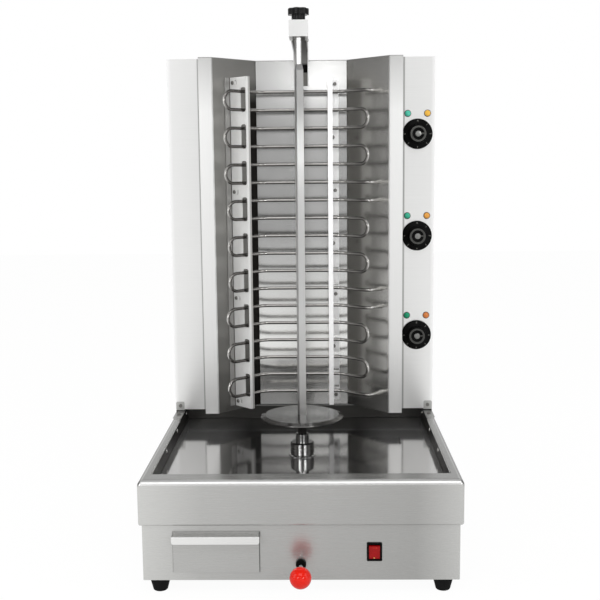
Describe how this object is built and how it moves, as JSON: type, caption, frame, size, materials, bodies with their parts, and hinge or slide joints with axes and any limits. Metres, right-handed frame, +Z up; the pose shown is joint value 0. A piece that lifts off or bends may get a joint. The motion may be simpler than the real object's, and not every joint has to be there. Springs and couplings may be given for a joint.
{
  "type": "electric doner kebab grill",
  "caption": "Electric doner kebab grill: drip tray base, reflector tower with rod heaters, turning spit, top arm with lock pin, dials, grease drawer and a sliding drive.",
  "frame": {"origin": "centre of the overall box, on the plane that the feet stand on", "axes": "+Z up, +Y from the front (drawer and red ball) to the back of the tower, +X to the right of a person who faces the front"},
  "size_m": [0.53, 0.6879, 0.966],
  "materials": {
    "brushed_stainless": "satin",
    "mirror_stainless": "mirror polished",
    "plain_stainless": "mill",
    "galvanised_sheet": "matt",
    "turned_stainless": "turned",
    "ground_steel": "ground",
    "bright_fasteners": "plated",
    "heater_sheath": "annealed",
    "plated_ferrule": "plated",
    "lamp_bezel": "bright",
    "bearing_bronze": "sintered",
    "gearbox_casting": "cast",
    "motor_paint": "satin",
    "black_rubber": "matt",
    "black_plastic": "fine grain",
    "red_ball_plastic": "gloss",
    "red_rocker_plastic": "gloss",
    "green_lens": "clear gloss",
    "amber_lens": "clear gloss",
    "thermostat_ceramic": "matt",
    "loom_sleeving": "woven"
  },
  "bodies": {
    "root": {"lower_housing": "brushed_stainless", "top_frame": "brushed_stainless", "left_casing": "brushed_stainless", "right_casing": "brushed_stainless", "tower_top_cover": "brushed_stainless", "rear_cover": "brushed_stainless", "corner_brackets": "brushed_stainless", "top_arm": "brushed_stainless", "drip_tray": "mirror_stainless", "left_reflector": "mirror_stainless", "right_reflector": "mirror_stainless", "back_reflector": "mirror_stainless", "drain_spout": "plain_stainless", "left_support_strip": "plain_stainless", "right_support_strip": "plain_stainless", "support_angles": "plain_stainless", "base_floor": "galvanised_sheet", "drawer_runners": "galvanised_sheet", "rail_brackets": "galvanised_sheet", "tower_floor": "galvanised_sheet", "guide_rails": "ground_steel", "screws_and_nuts": "bright_fasteners", "tray_rivets": "bright_fasteners", "heating_element_upper": "heater_sheath", "heating_element_middle": "heater_sheath", "heating_element_lower": "heater_sheath", "element_ferrules": "plated_ferrule", "lamp_bodies": "lamp_bezel", "rubber_feet": "black_rubber", "switch_body": "black_plastic", "cable_gland": "black_plastic", "rod_bushing": "black_plastic", "green_lenses": "green_lens", "amber_lenses": "amber_lens", "thermostat_upper": "thermostat_ceramic", "thermostat_middle": "thermostat_ceramic", "thermostat_lower": "thermostat_ceramic", "terminal_block": "thermostat_ceramic", "wiring_loom": "loom_sleeving"},
    "carriage": {"carriage_plate": "galvanised_sheet", "slide_bearings": "bearing_bronze", "gearbox": "gearbox_casting", "drive_motor": "motor_paint", "shaft_bearing": "ground_steel", "shaft_guard": "turned_stainless", "push_rod": "turned_stainless", "red_ball": "red_ball_plastic"},
    "spit_assembly": {"output_shaft": "ground_steel", "drive_boss": "turned_stainless", "meat_disc": "mirror_stainless", "spit_bar": "turned_stainless"},
    "sleeve": {"arm_sleeve": "brushed_stainless"},
    "locking_pin": {"lock_pin": "turned_stainless", "star_knob": "black_plastic"},
    "drawer": {"drawer_pan": "plain_stainless", "drawer_front": "brushed_stainless"},
    "rocker": {"switch_rocker": "red_rocker_plastic"},
    "upper_dial": {"dial_upper": "black_plastic"},
    "middle_dial": {"dial_middle": "black_plastic"},
    "lower_dial": {"dial_lower": "black_plastic"}
  },
  "joints": [
    {"name": "carriage_slide", "type": "slide", "parent": "root", "child": "carriage", "axis": [0, 1, 0], "range_m": [0, 0.028]},
    {"name": "spit_turn", "type": "hinge", "parent": "carriage", "child": "spit_assembly", "pos_m": [0, -0.03705, 0.3], "axis": [0, 0, 1], "continuous": true},
    {"name": "sleeve_slide", "type": "slide", "parent": "root", "child": "sleeve", "axis": [0, 1, 0], "range_m": [0, 0.028]},
    {"name": "pin_lift", "type": "slide", "parent": "sleeve", "child": "locking_pin", "axis": [0, 0, 1], "range_m": [0, 0.025]},
    {"name": "drawer_slide", "type": "slide", "parent": "root", "child": "drawer", "axis": [0, -1, 0], "range_m": [0, 0.2]},
    {"name": "rocker_tip", "type": "hinge", "parent": "root", "child": "rocker", "pos_m": [0.12, -0.26405, 0.0703], "axis": [-1, 0, 0], "range_deg": [0, 16]},
    {"name": "upper_dial_turn", "type": "hinge", "parent": "root", "child": "upper_dial", "pos_m": [0.23, 0.16595, 0.7545], "axis": [0, 1, 0], "range_deg": [0, 270]},
    {"name": "middle_dial_turn", "type": "hinge", "parent": "root", "child": "middle_dial", "pos_m": [0.23, 0.16595, 0.553], "axis": [0, 1, 0], "range_deg": [0, 270]},
    {"name": "lower_dial_turn", "type": "hinge", "parent": "root", "child": "lower_dial", "pos_m": [0.23, 0.16595, 0.3515], "axis": [0, 1, 0], "range_deg": [0, 270]}
  ],
  "couplings": [
    {"joint": "sleeve_slide", "follows": "carriage_slide", "ratio": 1}
  ]
}
